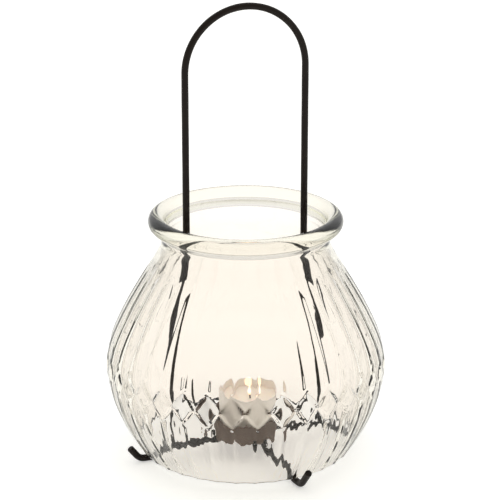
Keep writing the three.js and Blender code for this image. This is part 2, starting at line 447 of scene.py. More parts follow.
def patchy_group() -> bpy.types.ShaderNodeTree:
    """Uneven colour, gloss and height, as on paint, wax or rolled metal.

    Returns:
        The group.
    """
    tree, given, out = group_of(
        "patchy_surface",
        [
            ("Place", "Vector", 0.0),
            ("Colour", "Color", 0.0),
            ("Second Colour", "Color", 0.0),
            ("Patch Scale", "Float", 60.0),
            ("Grain Scale", "Float", 900.0),
            ("Contrast", "Float", 1.0),
            ("Roughness", "Float", 0.4),
            ("Roughness Change", "Float", 0.1),
        ],
        [("Colour", "Color"), ("Roughness", "Float"), ("Height", "Float"), ("Patches", "Float")],
    )
    place = given.outputs["Place"]
    patches = noise(tree, place, given.outputs["Patch Scale"], detail=5.0, rough=0.6)
    grain = noise(tree, place, given.outputs["Grain Scale"], detail=3.0, rough=0.7)
    centred = value_math(tree, "SUBTRACT", patches, 0.5)
    strong = value_math(tree, "MULTIPLY", centred, given.outputs["Contrast"])
    mask = value_math(tree, "ADD", strong, 0.5, clamp=True)
    colour = colour_mix(tree, mask, given.outputs["Colour"], given.outputs["Second Colour"])
    tree.links.new(colour, out.inputs["Colour"])
    change = value_math(tree, "MULTIPLY", centred, given.outputs["Roughness Change"])
    rough = value_math(tree, "ADD", given.outputs["Roughness"], change, clamp=True)
    tree.links.new(rough, out.inputs["Roughness"])
    tree.links.new(value_math(tree, "ADD", grain, patches), out.inputs["Height"])
    tree.links.new(mask, out.inputs["Patches"])
    return tree


def edge_wear_group() -> bpy.types.ShaderNodeTree:
    """Mask of sharp outer edges where a finish is rubbed thin.

    Returns:
        The group.
    """
    tree, given, out = group_of(
        "edge_wear",
        [("Place", "Vector", 0.0), ("Amount", "Float", 0.5), ("Scale", "Float", 300.0)],
        [("Mask", "Float")],
    )
    shape = tree.nodes.new("ShaderNodeNewGeometry")
    edge = value_math(tree, "SUBTRACT", shape.outputs["Pointiness"], WEAR_FROM)
    sharp = value_math(tree, "MULTIPLY", edge, WEAR_GAIN, clamp=True)
    broken = noise(tree, given.outputs["Place"], given.outputs["Scale"], detail=4.0, rough=0.7)
    uncovered = value_math(tree, "SUBTRACT", broken, CRUMBS_FROM)
    crumbs = value_math(tree, "MULTIPLY", uncovered, CRUMBS_GAIN, clamp=True)
    worn = value_math(tree, "MULTIPLY", sharp, crumbs)
    mask = value_math(tree, "MULTIPLY", worn, given.outputs["Amount"])
    tree.links.new(mask, out.inputs["Mask"])
    return tree


@dataclass(frozen=True)
class Finish:
    """A material built from the shared groups, with its own values.

    Colours are linear, scales are in periods for each metre, and the bump distance and the subsurface
    scale are in metres.
    """

    name: str
    colour: Colour = (0.5, 0.5, 0.5)
    second: Colour = (0.5, 0.5, 0.5)
    patch_scale: float = 60.0
    grain_scale: float = 900.0
    contrast: float = 2.0
    roughness: float = 0.4
    roughness_change: float = 0.2
    bump: float = 0.2
    bump_distance: float = 0.0001
    metallic: float = 0.0
    specular: float = 0.5
    worn: Colour | None = None
    wear: float = 0.0
    subsurface: float = 0.0
    subsurface_scale: float = 0.004
    subsurface_reach: Colour = (1.0, 0.6, 0.35)
    glow: Colour | None = None
    glow_strength: float = 0.0

    def make(self) -> bpy.types.Material:
        """Builds the material's nodes.

        Returns:
            The material.
        """
        material = bpy.data.materials.new(self.name)
        material.use_nodes = True
        tree = material.node_tree
        shader = tree.nodes["Principled BSDF"]
        place = tree.nodes.new("ShaderNodeTexCoord").outputs["Object"]
        patchy = tree.nodes.new("ShaderNodeGroup")
        patchy.node_tree = shared_group("patchy_surface")
        tree.links.new(place, patchy.inputs["Place"])
        patchy.inputs["Colour"].default_value = (*self.colour, 1.0)
        patchy.inputs["Second Colour"].default_value = (*self.second, 1.0)
        for label, value in (
            ("Patch Scale", self.patch_scale),
            ("Grain Scale", self.grain_scale),
            ("Contrast", self.contrast),
            ("Roughness", self.roughness),
            ("Roughness Change", self.roughness_change),
        ):
            patchy.inputs[label].default_value = value
        colour = patchy.outputs["Colour"]
        if self.worn is not None:
            wear = tree.nodes.new("ShaderNodeGroup")
            wear.node_tree = shared_group("edge_wear")
            tree.links.new(place, wear.inputs["Place"])
            wear.inputs["Amount"].default_value = self.wear
            colour = colour_mix(tree, wear.outputs["Mask"], colour, (*self.worn, 1.0))
        tree.links.new(colour, shader.inputs["Base Color"])
        tree.links.new(patchy.outputs["Roughness"], shader.inputs["Roughness"])
        bump = tree.nodes.new("ShaderNodeBump")
        bump.inputs["Strength"].default_value = self.bump
        bump.inputs["Distance"].default_value = self.bump_distance
        tree.links.new(patchy.outputs["Height"], bump.inputs["Height"])
        tree.links.new(bump.outputs["Normal"], shader.inputs["Normal"])
        shader.inputs["Metallic"].default_value = self.metallic
        shader.inputs["Specular IOR Level"].default_value = self.specular
        if self.subsurface > 0:
            shader.inputs["Subsurface Weight"].default_value = self.subsurface
            shader.inputs["Subsurface Radius"].default_value = self.subsurface_reach
            shader.inputs["Subsurface Scale"].default_value = self.subsurface_scale
        if self.glow is not None:
            shader.inputs["Emission Color"].default_value = (*self.glow, 1.0)
            shader.inputs["Emission Strength"].default_value = self.glow_strength
        return material


_groups: dict[str, bpy.types.ShaderNodeTree] = {}


def shared_group(name: str) -> bpy.types.ShaderNodeTree:
    """Finds a shared node group, which is built once.

    Args:
        name: Name of the group.

    Returns:
        The group.
    """
    makers = {"patchy_surface": patchy_group, "edge_wear": edge_wear_group}
    if name not in _groups:
        _groups[name] = makers[name]()
    return _groups[name]


@dataclass(frozen=True)
class ClearGlass:
    """Clear pressed glass, a little green through its depth, with painted shade that makes it greyer where
    it is seen at a slant.

    Lamps reach through it, so it casts only a faint shade. Its reflections are weakened to their mirror
    share. The gloss and wave scales are in periods for each metre, and the wave height is in metres.
    """

    name: str = "clear_pressed_glass"
    tint: Colour = (0.955, 0.920, 0.893)
    slant_painted_shade: Colour = (0.36, 0.34, 0.27)
    slant_painted_shade_power: float = 2.6
    ior: float = 1.5
    mirror_share: float = 0.35
    shadow_tint: Colour = (0.97, 0.96, 0.94)
    absorb: Colour = (0.70, 0.72, 0.50)
    absorb_density: float = 20.0
    gloss_scale: float = 30.0
    gloss_loss: float = 0.012
    wave_scale: float = 90.0
    wave_strength: float = 0.25
    wave_height: float = 0.0004

    def make(self) -> bpy.types.Material:
        """Builds the material's nodes.

        Returns:
            The material.
        """
        material = bpy.data.materials.new(self.name)
        material.use_nodes = True
        tree = material.node_tree
        shader = tree.nodes["Principled BSDF"]
        # Painted shade: the colour turns a dark grey-green where the surface is seen at a slant, darkening
        # the silhouettes and flute ridges.
        slant = tree.nodes.new("ShaderNodeLayerWeight").outputs["Facing"]
        edge = value_math(tree, "POWER", slant, self.slant_painted_shade_power, clamp=True)
        colour = colour_mix(tree, edge, (*self.tint, 1.0), (*self.slant_painted_shade, 1.0))
        tree.links.new(colour, shader.inputs["Base Color"])
        shader.inputs["Transmission Weight"].default_value = 1.0
        shader.inputs["IOR"].default_value = self.ior
        shader.inputs["Specular Tint"].default_value = (*(self.mirror_share,) * 3, 1.0)
        shader.inputs["Metallic"].default_value = 0.0
        place = tree.nodes.new("ShaderNodeTexCoord").outputs["Object"]
        smears = noise(tree, place, self.gloss_scale, detail=3.0, rough=0.5)
        rough = value_math(tree, "MULTIPLY", smears, self.gloss_loss)
        tree.links.new(rough, shader.inputs["Roughness"])
        bump = tree.nodes.new("ShaderNodeBump")
        bump.inputs["Strength"].default_value = self.wave_strength
        bump.inputs["Distance"].default_value = self.wave_height
        wave = noise(tree, place, self.wave_scale, detail=2.0, rough=0.4)
        tree.links.new(wave, bump.inputs["Height"])
        tree.links.new(bump.outputs["Normal"], shader.inputs["Normal"])
        see_through = tree.nodes.new("ShaderNodeBsdfTransparent")
        see_through.inputs["Color"].default_value = (*self.shadow_tint, 1.0)
        rays = tree.nodes.new("ShaderNodeLightPath")
        lit = tree.nodes.new("ShaderNodeMixShader")
        tree.links.new(rays.outputs["Is Shadow Ray"], lit.inputs[0])
        tree.links.new(shader.outputs[0], lit.inputs[1])
        tree.links.new(see_through.outputs[0], lit.inputs[2])
        tree.links.new(lit.outputs[0], tree.nodes["Material Output"].inputs["Surface"])
        body = tree.nodes.new("ShaderNodeVolumeAbsorption")
        body.inputs["Color"].default_value = (*self.absorb, 1.0)
        body.inputs["Density"].default_value = self.absorb_density
        tree.links.new(body.outputs[0], tree.nodes["Material Output"].inputs["Volume"])
        return material


PAINT = Finish(
    name="black_wire_paint",
    colour=(0.007, 0.004, 0.003),
    second=(0.012, 0.008, 0.006),
    patch_scale=90.0,
    grain_scale=1400.0,
    roughness=0.36,
    roughness_change=0.25,
    bump=0.35,
    worn=(0.06, 0.045, 0.035),
    wear=0.5,
    specular=0.14,
)
# Painted light: the pan's black paint is given a lighter brown-grey than the wires' paint, for the light
# it catches inside the shade.
PAN_PAINT_PAINTED_LIGHT = Finish(
    name="black_pan_paint_painted_light",
    colour=(0.105, 0.073, 0.056),
    second=(0.145, 0.105, 0.083),
    patch_scale=70.0,
    grain_scale=1100.0,
    roughness=0.5,
    roughness_change=0.2,
    bump=0.3,
    worn=(0.2, 0.16, 0.13),
    wear=0.5,
    specular=0.25,
)
WELD_METAL = Finish(
    name="painted_weld",
    colour=(0.009, 0.006, 0.005),
    second=(0.018, 0.013, 0.010),
    patch_scale=500.0,
    grain_scale=2500.0,
    roughness=0.5,
    bump=0.8,
    bump_distance=0.0002,
    specular=0.2,
)
FOIL = Finish(
    name="aluminium_foil_cup",
    colour=(0.95, 0.90, 0.86),
    second=(0.97, 0.94, 0.91),
    patch_scale=150.0,
    grain_scale=1800.0,
    roughness=0.55,
    roughness_change=0.2,
    bump=0.25,
    metallic=0.35,
)
CANDLE_WAX_PAINTED_GLOW = Finish(
    name="candle_wax",
    colour=(0.92, 0.84, 0.77),
    second=(0.95, 0.90, 0.84),
    patch_scale=120.0,
    grain_scale=700.0,
    roughness=0.35,
    bump=0.15,
    subsurface=0.4,
    # Painted light: the wax glows a little, for the flame's light shining through it.
    glow=(1.0, 0.82, 0.70),
    glow_strength=0.16,
)
CHARRED_COTTON = Finish(
    name="charred_cotton",
    colour=(0.012, 0.009, 0.008),
    second=(0.06, 0.03, 0.018),
    patch_scale=1500.0,
    grain_scale=6000.0,
    roughness=0.9,
    bump=0.8,
    bump_distance=0.0002,
)
TIN = Finish(
    name="tinplate",
    colour=(0.60, 0.60, 0.58),
    second=(0.70, 0.70, 0.68),
    patch_scale=200.0,
    roughness=0.3,
    metallic=1.0,
)
FLOOR_PAPER = Finish(
    name="pale_paper",
    colour=(0.90, 0.90, 0.89),
    second=(0.92, 0.92, 0.91),
    patch_scale=2.0,
    grain_scale=400.0,
    roughness=0.85,
    bump=0.05,
    glow=(1.0, 1.0, 1.0),
    glow_strength=0.42,
)


@dataclass(frozen=True)
class FlameLight:
    """The glow of the flame: dull at its foot, then warm, white in its body and yellow at its tip."""

    name: str = "candle_flame"
    strength: float = 1.5
    body: Colour = (0.02, 0.015, 0.01)
    stops: tuple[tuple[float, Colour], ...] = (
        (0.0, (0.45, 0.30, 0.35)),
        (0.14, (1.0, 0.70, 0.42)),
        (0.35, (1.0, 0.96, 0.88)),
        (1.0, (1.0, 0.86, 0.62)),
    )

    def make(self, low: float, high: float) -> bpy.types.Material:
        """Builds the material's nodes.

        Args:
            low: Height of the flame's foot, in metres.
            high: Height of its tip, in metres.

        Returns:
            The material.
        """
        material = bpy.data.materials.new(self.name)
        material.use_nodes = True
        tree = material.node_tree
        shader = tree.nodes["Principled BSDF"]
        place = tree.nodes.new("ShaderNodeTexCoord").outputs["Object"]
        parts = tree.nodes.new("ShaderNodeSeparateXYZ")
        tree.links.new(place, parts.inputs[0])
        height = value_math(tree, "SUBTRACT", parts.outputs[2], low)
        share = value_math(tree, "DIVIDE", height, high - low, clamp=True)
        glow = colour_ramp(tree, share, self.stops)
        tree.links.new(glow, shader.inputs["Emission Color"])
        shader.inputs["Emission Strength"].default_value = self.strength
        shader.inputs["Base Color"].default_value = (*self.body, 1.0)
        shader.inputs["Roughness"].default_value = 1.0
        shader.inputs["Specular IOR Level"].default_value = 0.0
        return material


def dress(piece: bpy.types.Object, material: bpy.types.Material) -> bpy.types.Object:
    """Gives a piece its only material.

    Args:
        piece: The piece.
        material: Its material.

    Returns:
        The same piece.
    """
    piece.data.materials.clear()
    piece.data.materials.append(material)
    return piece


def axis_of(node: str) -> Vector:
    """Finds where a node stands.

    Args:
        node: Name of the CAD node.

    Returns:
        Its middle in plan and its lowest height, in millimetres.
    """
    low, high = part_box(node)
    return Vector(((low.x + high.x) / 2, (low.y + high.y) / 2, low.z)) / MM


# ---------------------------------------------------------------- sub-assemblies


@dataclass
class GlassShade:
    """The open-bottomed shade of pressed glass, with flutes, a belt of diamonds and a round lip.

    Lengths are in millimetres, angles in degrees, and heights are above the lower edge. The outline is
    the outside before the pattern is cut, as points of radius and height.
    """

    flutes: int = 36
    columns: int = 16
    turn: float = 9.2
    flute_depth: float = 0.9
    wall: float = 4.0
    belt_low: float = 43.5
    belt_mid: float = 54.5
    belt_high: float = 66.5
    belt_depth: float = 0.6
    belt_sharpness: float = 5.0
    groove_run: float = 1.4
    shoulder: float = 124.0
    arch: float = 12.0
    row_step: float = 0.62
    edge_round: float = 0.6
    lip_radius: float = 55.1
    lip_height: float = 147.4
    lip_thickness: float = 10.5
    bead_from: float = -50.0
    bead_to: float = 178.0
    bead_points: int = 30
    blend_pull: float = 0.38
    inner_rings: int = 90
    inner_share: float = 0.5
    inner_top: float = 133.0
    inner_fade_top: float = 118.0
    inner_fade: float = 15.0
    inner_belt_half: float = 8.0
    ripple: float = 0.06
    ripple_top: float = 100.0
    ripple_fade: float = 12.0
    swell: float = 0.03
    swell_step: float = 17.0
    weave: float = 0.05
    weave_step: float = 13.0
    weave_twist: float = 6.0
    low_part_top: float = 50.5
    low_part_fade: float = 8.0
    outline: tuple[Point, ...] = (
        (67.6, 0.0),
        (78.6, 19.5),
        (86.8, 43.5),
        (87.8, 54.5),
        (86.1, 66.5),
        (76.7, 89.5),
        (66.1, 108.5),
        (56.6, 124.0),
        (52.6, 132.5),
        (52.0, 137.5),
    )

    def smooth_radius(self, height: float) -> float:
        """Radius of the outside before the pattern is cut, on a smooth curve through the outline.

        Args:
            height: Height above the lower edge.

        Returns:
            Radius in millimetres.
        """
        heights = np.array([h for _, h in self.outline])
        radii = np.array([r for r, _ in self.outline])
        slopes = np.gradient(radii, heights)
        span = int(np.clip(np.searchsorted(heights, height) - 1, 0, len(heights) - 2))
        width = heights[span + 1] - heights[span]
        t = (height - heights[span]) / width
        return float(
            (2 * t**3 - 3 * t**2 + 1) * radii[span]
            + (t**3 - 2 * t**2 + t) * width * slopes[span]
            + (-2 * t**3 + 3 * t**2) * radii[span + 1]
            + (t**3 - t**2) * width * slopes[span + 1]
        )

    def pattern_depth(self, across: np.ndarray, height: float) -> np.ndarray:
        """How far the pattern is cut in.

        Args:
            across: 0 at the middle of a flute, 1 at the ridge between two flutes.
            height: Height above the lower edge.

        Returns:
            Depth in millimetres.
        """
        above = height > self.belt_mid
        half = self.belt_high - self.belt_mid if above else self.belt_mid - self.belt_low
        from_mid = abs(height - self.belt_mid) / half
        arch_low = self.shoulder - self.arch
        flute = self.flute_depth * (1 - across**2)
        flute = flute - max(height - arch_low, 0.0) * self.flute_depth / self.arch
        flute = np.maximum(flute, 0.0)
        groove = self.belt_depth * (1 - np.maximum(from_mid - across, 0) * half / self.groove_run)
        pillow = np.clip(1 - across + from_mid, 0, 1) ** self.belt_sharpness * self.belt_depth
        return np.where(across > from_mid, pillow, np.maximum(flute, groove))

    def inner_follow(self, across: np.ndarray, height: float) -> np.ndarray:
        """How far the inner wall would come in if it followed the flutes fully.

        Args:
            across: 0 at the middle of a flute, 1 at the ridge between two flutes.
            height: Height above the lower edge.

        Returns:
            Distance in millimetres.
        """
        wave = self.flute_depth * (0.5 + 0.5 * np.cos(math.pi * across))
        wave = wave * float(np.clip((self.inner_fade_top - height) / self.inner_fade, 0, 1))
        belt = float(np.clip(1 - abs(height - self.belt_mid) / self.inner_belt_half, 0, 1))
        return wave * (1 - belt) + belt * self.flute_depth * 0.5

    def inner_wander(
        self, angles: np.ndarray, streaks: np.ndarray, slow: np.ndarray, height: float
    ) -> np.ndarray:
        """How far the inner wall strays from its smooth shape, as pressed glass does.

        Args:
            angles: Where to read it, in radians.
            streaks: Fine wave round the shade, at the same angles.
            slow: Coarse wave round the shade, at the same angles.
            height: Height above the lower edge.

        Returns:
            Distance in millimetres, inwards.
        """
        ease = float(np.clip((self.ripple_top - height) / self.ripple_fade, 0, 1))
        low_part = float(np.clip((self.low_part_top - height) / self.low_part_fade, 0, 1))
        rough = self.ripple * (0.3 * ease + 0.7 * low_part)
        wander = streaks * rough * (1 + 0.3 * slow)
        wander = wander + self.swell * ease * np.sin(angles * 3 + height / self.swell_step)
        weave = np.sin(2 * math.pi * height / self.weave_step + self.weave_twist * streaks)
        return wander + self.weave * low_part * weave

    def edge_lift(self, height: float) -> float:
        """How far the rounding of the lower edge takes the wall back at a height."""
        bend = max(1 - height / self.edge_round, 0)
        return self.edge_round * (1 - math.sqrt(max(1 - bend**2, 0)))

    def lip_outline(self, top: float) -> list[Point]:
        """Smooth outline of the lip, from the neck over the bead and down to the inner wall.

        Args:
            top: Height at which the patterned outside ends.

        Returns:
            Points of radius and height.
        """
        lip_r = self.lip_thickness / 2
        neck_r = self.smooth_radius(top)
        inner_r = self.smooth_radius(self.inner_top) - self.wall
        bead = [
            (
                self.lip_radius + lip_r * math.cos(math.radians(angle)),
                self.lip_height + lip_r * math.sin(math.radians(angle)),
            )
            for angle in np.linspace(self.bead_from, self.bead_to, self.bead_points)
        ]
        out_of_neck, along_bead = (0.1, 1.0), (0.766, 0.643)
        down, into_wall = (0.0, -1.0), (0.05, -1.0)
        cove = self.blend((neck_r, top), out_of_neck, bead[0], along_bead, steps=8)
        throat = self.blend(bead[-1], down, (inner_r, self.inner_top), into_wall, steps=10)
        return [*cove[1:-1], *bead, *throat[1:-1]]

    def blend(
        self,
        start: Point,
        leave: Point,
        end: Point,
        arrive: Point,
        steps: int,
    ) -> list[Point]:
        """A smooth run between two points.

        Args:
            start: First point.
            leave: Direction in which the run leaves it.
            end: Last point.
            arrive: Direction in which the run arrives there.
            steps: Number of steps.

        Returns:
            The points of the run.
        """
        first, last = np.array(start), np.array(end)
        pull = float(np.hypot(*(last - first))) * self.blend_pull
        away = first + np.array(leave) / np.hypot(*leave) * pull
        before = last - np.array(arrive) / np.hypot(*arrive) * pull
        knots = np.array([first, away, before, last])
        return [(float(x), float(y)) for x, y in bezier(knots, steps + 1)]

    def build(self) -> bpy.types.Object:
        """Builds the shade as one closed skin.

        Returns:
            The shade.
        """
        low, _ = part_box("glass_shade")
        edge_z = low.z / MM
        around = self.flutes * self.columns
        angles = np.arange(around) * 2 * math.pi / around
        turns = (np.degrees(angles) - self.turn) * self.flutes / 360
        across = np.abs(turns - np.round(turns)) * 2
        streaks = waves(angles, range(61, 190, 7), seed=11)
        slow = waves(angles, (5, 9, 14, 23), seed=7)
        rings: list[np.ndarray] = []

        def add(radii: np.ndarray, height: float) -> None:
            """Adds one ring."""
            level = np.full(around, height + edge_z)
            rings.append(np.stack([radii * np.cos(angles), radii * np.sin(angles), level], 1))

        top = self.outline[-1][1]
        for height in np.linspace(0.0, top, int(top / self.row_step)).tolist():
            cut = self.pattern_depth(across, height)
            add(self.smooth_radius(height) - cut - self.edge_lift(height), height)
        for radius, height in self.lip_outline(top):
            add(np.full(around, radius), height)
        for height in np.linspace(self.inner_top, 0.0, self.inner_rings).tolist():
            inner = self.smooth_radius(height) - self.wall
            inner = inner - self.inner_share * self.inner_follow(across, height)
            wander = self.inner_wander(angles, streaks, slow, height)
            add(inner - wander + self.edge_lift(height), height)
        faces = ring_faces(len(rings), around, True)
        piece = mesh_object("shade_glass", np.concatenate(rings), faces)
        dress(piece, ClearGlass().make())
        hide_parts("glass_shade")
        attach(piece, Body.SHADE.value)
        log.info("shade: %d points", len(piece.data.vertices))
        return piece


@dataclass
class WireStand:
    """The black wire parts: the handle, the cross with its raised ends, and the welds.

    Lengths are in millimetres and angles in degrees.
    """

    wire: float = 4.3
    around: int = 20
    unevenness: float = 0.02
    uneven_step: float = 0.45
    handle_half: float = 38.7
    arch_z: float = 247.0
    leg_foot: float = 49.1
    leg_straight: float = 134.6
    bow_low: float = 109.0
    bow_high: float = 24.0
    cross_turn: float = 8.0
    cross_rise: float = 6.0
    drop_from: float = 53.2
    drop_to: float = 61.0
    drop_round: float = 3.0
    drop_lead: float = 4.0
    arm_start: float = 2.85
    bend_from: float = 68.0
    bend_radius: float = 6.5
    rise: float = 52.0
    tip: float = 11.5
    rod_tip: float = 7.0
    gap: float = 0.3
    cut_edge: float = 0.5
    drop_size: float = 0.93
    drop_lumps: float = 0.06
    collar_size: float = 0.9
    collar_lumps: float = 0.1

    def foot_path(self, start: float, tip: float) -> np.ndarray:
        """Centre line of a cross arm along +X.

        Args:
            start: Distance from the middle at which it begins.
            tip: Length of the raised tip.

        Returns:
            Points from the middle of the cross to the tip.
        """
        mid = self.wire / 2
        high = mid + self.cross_rise
        knots = [
            (start, high, 0.0),
            (self.drop_from, high, self.drop_round),
            (self.drop_to, mid, self.drop_round),
            (self.bend_from, mid, 0.0),
        ]
        points = [(x, high) for x in np.linspace(start, self.drop_from - self.drop_lead, 30)]
        points.extend(rounded(knots)[1:-1])
        rise = math.radians(self.rise)
        for angle in np.linspace(0, rise, 10):
            points.append(
                (
                    self.bend_from + self.bend_radius * math.sin(angle),
                    mid + self.bend_radius * (1 - math.cos(angle)),
                )
            )
        x, z = points[-1]
        for reach in np.linspace(0, tip, 8)[1:]:
            points.append((x + reach * math.cos(rise), z + reach * math.sin(rise)))
        return np.array([(px, 0.0, pz) for px, pz in points])

    def handle_path(self) -> np.ndarray:
        """Centre line of the handle, from its left foot over the arch to its right foot.

        Returns:
            The points of the line.
        """
        foot_z = self.wire + self.gap + self.cross_rise
        knots = np.array(
            [
                (self.leg_foot, foot_z),
                (self.leg_foot, foot_z + self.bow_low - self.cross_rise),
                (self.handle_half, self.leg_straight - self.bow_high),
                (self.handle_half, self.leg_straight),
            ]
        )
        straight = np.linspace(self.leg_straight, self.arch_z, 60)[1:]
        upright = np.stack([np.full(len(straight), self.handle_half), straight], 1)
        half = np.concatenate([bezier(knots, 80), upright])
        arch = [
            (self.handle_half * math.cos(a), self.arch_z + self.handle_half * math.sin(a))
            for a in np.linspace(math.pi, 0, 70)[1:-1]
        ]
        left = np.stack([-half[:, 0], half[:, 1]], 1)
        line = np.concatenate([left, np.array(arch), half[::-1]])
        return np.stack([line[:, 0], np.zeros(len(line)), line[:, 1]], 1)

    def bar(self, name: str, node: str, path: np.ndarray, paint: bpy.types.Material) -> bpy.types.Object:
        """One wire of the stand.

        Args:
            name: Name of the piece.
            node: The CAD node that it replaces.
            path: Its centre line.
            paint: Its finish.

        Returns:
            The wire.
        """
        wander = self.unevenness * np.sin(np.arange(len(path)) * self.uneven_step)
        radii = self.wire / 2 + wander
        piece = swept(name, path, radii, around=self.around, edge=self.cut_edge)
        dress(piece, paint)
        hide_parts(node)
        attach(piece, Body.STAND.value)
        return piece

    def build(self) -> list[bpy.types.Object]:
        """Builds the wires and their welds.

        Returns:
            The pieces of the stand.
        """
        paint = PAINT.make()
        foot = self.foot_path(0.0, self.rod_tip)
        mirrored = foot[::-1] * np.array([-1.0, 1.0, 1.0])
        rod = np.concatenate([mirrored[:-1], foot])
        arm = self.foot_path(self.arm_start, self.tip)
        lean = math.radians(self.cross_turn)
        back = np.stack([-arm[:, 0] * math.sin(lean), arm[:, 0] * math.cos(lean), arm[:, 2]], 1)
        front = back * np.array([-1.0, -1.0, 1.0])
        pieces = [
            self.bar("handle", "handle_wire", self.handle_path(), paint),
            self.bar("long_cross_wire", "cross_rod", rod, paint),
            self.bar("back_cross_wire", "cross_arm_back", back, paint),
            self.bar("front_cross_wire", "cross_arm_front", front, paint),
        ]
        pieces.extend(self.welds())
        log.info("stand: %d pieces", len(pieces))
        return pieces

    def welds(self) -> list[bpy.types.Object]:
        """Puts an uneven bead in the place of each spot and collar of weld.

        Returns:
            The beads.
        """
        metal = WELD_METAL.make()
        made = []
        for node in sorted(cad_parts):
            if "_weld_" not in node:
                continue
            low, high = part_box(node)
            middle, half = (low + high) / 2 / MM, (high - low) / 2 / MM
            seed = len(made) + 1
            if node.startswith("handle"):
                piece = self.collar(node, middle, half, seed)
            else:
                piece = self.bead(node, middle, half, seed)
            dress(piece, metal)
            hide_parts(node)
            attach(piece, Body.STAND.value)
            made.append(piece)
        return made

    def bead(self, node: str, middle: Vector, half: Vector, seed: int) -> bpy.types.Object:
        """A drop of weld, a little uneven.

        Args:
            node: The CAD node that it is named after.
            middle: Middle of the drop.
            half: Half of its size along each axis.
            seed: Starts its own wave.

        Returns:
            The drop.
        """
        levels = 14
        outline = [(0.0, -half.z)]
        for k in range(1, levels):
            angle = -math.pi / 2 + math.pi * k / levels
            outline.append((half.x * math.cos(angle), half.z * math.sin(angle)))
        outline.append((0.0, half.z))

        def lumpy(angles: np.ndarray, radii: np.ndarray, heights: np.ndarray) -> np.ndarray:
            """Makes the drop uneven."""
            lumps = waves(angles + heights, (2, 3, 5), seed)
            return radii * (self.drop_size + self.drop_lumps * lumps)

        return turned(f"bead_{node}", outline, around=28, centre=middle, shape=lumpy)

    def collar(self, node: str, middle: Vector, half: Vector, seed: int) -> bpy.types.Object:
        """A sloping ring of weld round the foot of a leg.

        Args:
            node: The CAD node that it is named after.
            middle: Middle of the ring.
            half: Half of its size along each axis.
            seed: Starts its own wave.

        Returns:
            The ring.
        """
        inner = self.wire / 2 + 0.05
        corners = [
            (inner, -half.z, 0.0),
            (half.x, -half.z, 0.3),
            (half.x - 0.35, 0.0, 0.5),
            (inner + 0.15, half.z, 0.2),
            (inner, half.z - 0.05, 0.0),
        ]

        def lumpy(angles: np.ndarray, radii: np.ndarray, heights: np.ndarray) -> np.ndarray:
            """Makes the ring uneven outside the wire."""
            lumps = waves(angles, (3, 5, 8), seed)
            return inner + (radii - inner) * (self.collar_size + self.collar_lumps * lumps)

        return turned(f"collar_{node}", rounded(corners), around=40, centre=middle, shape=lumpy)


@dataclass
class CandlePan:
    """The pressed sheet-metal pan that holds the tealight. Lengths are in millimetres."""

    radius: float = 24.0
    base_radius: float = 23.0
    depth: float = 12.6
    sheet: float = 0.8
    bead: float = 0.65
    wall_lean: float = 0.4
    dish_rise: float = 0.15
    dish_inner: float = 6.0
    dish_outer: float = 5.4
    dents: float = 0.04
    tuck: float = 0.05

    def build(self) -> bpy.types.Object:
        """Builds the pan with its rounded foot and rolled rim.

        Returns:
            The pan.
        """
        foot = axis_of("candle_pan")
        base, top, sheet = self.base_radius, self.radius, self.sheet
        wall_r = top - self.wall_lean
        wall_top = self.depth - 2 * self.bead
        roll = [
            (
                top - self.bead + self.bead * math.cos(a),
                self.depth - self.bead + self.bead * math.sin(a),
            )
            for a in np.linspace(-math.pi / 3, math.pi, 12)
        ]
        outer = [
            (0.0, self.dish_rise, 0.0),
            (base - self.dish_inner, self.dish_rise, 1.0),
            (base - self.dish_outer, 0.0, 0.4),
            (base, 0.0, 1.8),
            (wall_r, wall_top, 0.0),
        ]
        inner = [
            (wall_r - sheet, wall_top, 0.0),
            (base - sheet, sheet, 1.4),
            (base - self.dish_outer - sheet, sheet, 0.4),
            (base - self.dish_inner - sheet, sheet + self.dish_rise, 1.0),
            (0.0, sheet + self.dish_rise, 0.0),
        ]
        outline = [*rounded(outer), *roll, *rounded(inner)]

        def dented(angles: np.ndarray, radii: np.ndarray, heights: np.ndarray) -> np.ndarray:
            """Makes the pressed sheet a little uneven."""
            return radii + self.dents * waves(angles, (2, 3, 7), seed=5) * radii / top - self.tuck

        piece = turned("candle_pan_sheet", outline, around=120, centre=foot, shape=dented)
        dress(piece, PAN_PAINT_PAINTED_LIGHT.make())
        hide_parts("candle_pan")
        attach(piece, Body.STAND.value)
        log.info("pan: %d points", len(piece.data.vertices))
        return piece


